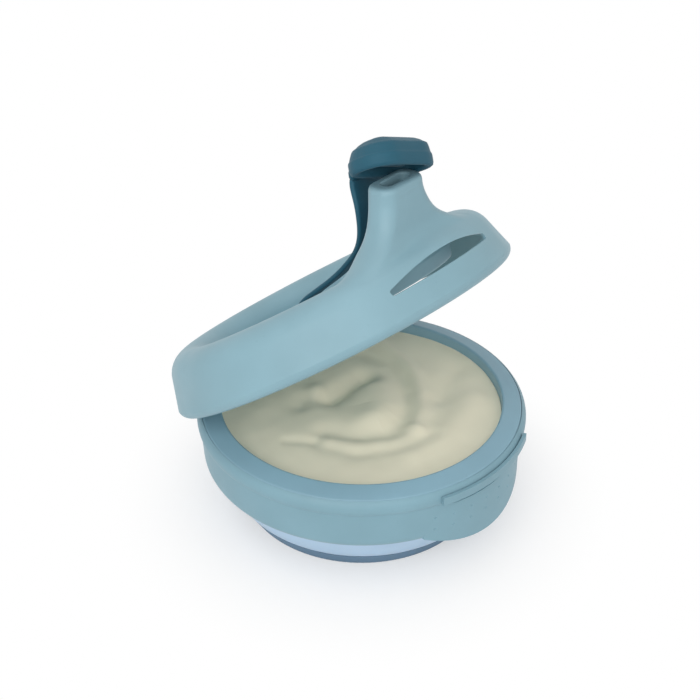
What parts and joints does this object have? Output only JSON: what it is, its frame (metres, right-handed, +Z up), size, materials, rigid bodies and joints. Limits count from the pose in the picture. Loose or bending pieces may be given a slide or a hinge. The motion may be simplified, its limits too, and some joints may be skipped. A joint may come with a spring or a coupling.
{
  "type": "reusable food pouch",
  "caption": "Low round squeeze bowl with a hinged spouted lid, thumb grip, catch lip and a strapped silicone cap that stands off the flat spout mouth.",
  "frame": {"origin": "centre of the foot's flat underside", "axes": "+Z up along the bowl's axis, +X towards the catch and the spout, +Y along the lid hinge"},
  "size_m": [0.1073, 0.1088, 0.1241],
  "materials": {
    "foot": "smooth slate-blue plastic dish",
    "bowl": "soft translucent pale blue silicone",
    "body_plastic": "satin grey-blue moulded plastic",
    "pin": "plain dark pin",
    "lid_plastic": "satin grey-blue moulded plastic",
    "seal": "pale silicone gasket",
    "cap_silicone": "matt dark teal silicone"
  },
  "bodies": {
    "base": {"foot": "foot", "bowl": "bowl", "rim_ring": "body_plastic", "sleeve": "body_plastic", "hinge_pin": "pin"},
    "lid": {"lid": "lid_plastic", "lid_seal": "seal", "cap_strap": "cap_silicone", "strap_anchor": "cap_silicone"},
    "cap": {"cap": "cap_silicone"}
  },
  "joints": [
    {"name": "lid_hinge", "type": "hinge", "parent": "base", "child": "lid", "pos_m": [-0.0541, 0, 0.0293], "axis": [0, -1, 0], "range_deg": [-36.4, 60]},
    {"name": "cap_hinge", "type": "hinge", "parent": "lid", "child": "cap", "pos_m": [-0.00105, 0, 0.10868], "axis": [-0.6118, -0.788, -0.0686], "range_deg": [-33, 60]}
  ]
}
